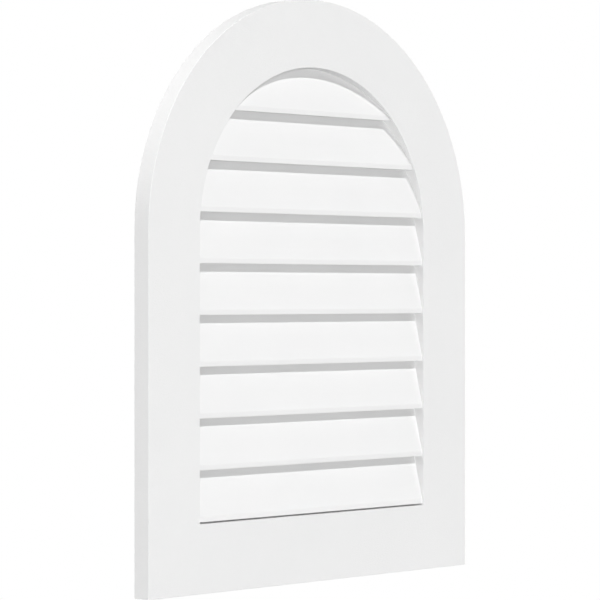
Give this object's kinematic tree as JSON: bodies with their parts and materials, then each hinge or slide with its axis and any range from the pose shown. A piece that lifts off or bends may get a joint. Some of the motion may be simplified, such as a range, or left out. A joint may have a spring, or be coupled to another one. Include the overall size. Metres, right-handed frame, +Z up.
{
  "type": "gable vent",
  "caption": "Round-top louvred gable vent: a wide flat arched frame with fixed overlapping slats and an insect screen behind, surface-fixed to a wall to let attic air out and keep rain off.",
  "frame": {"origin": "middle of the bottom edge of the frame's back face, which lies on the wall", "axes": "+Z up, +Y into the wall (the louvred front looks along -Y), +X to the right seen from the front"},
  "size_m": [0.6096, 0.0254, 0.7619],
  "materials": {
    "frame_pvc": "white cellular PVC board, sealed face, routed edges",
    "slat_pvc": "white PVC strip, smooth matt",
    "screen_mesh": "coated glass-fibre insect mesh, charcoal",
    "staple_wire": "galvanised wire"
  },
  "bodies": {
    "root": {"face_frame": "frame_pvc", "louver_1": "slat_pvc", "louver_2": "slat_pvc", "louver_3": "slat_pvc", "louver_4": "slat_pvc", "louver_5": "slat_pvc", "louver_6": "slat_pvc", "louver_7": "slat_pvc", "louver_8": "slat_pvc", "louver_9": "slat_pvc", "insect_screen": "screen_mesh", "screen_staples": "staple_wire"}
  },
  "joints": []
}
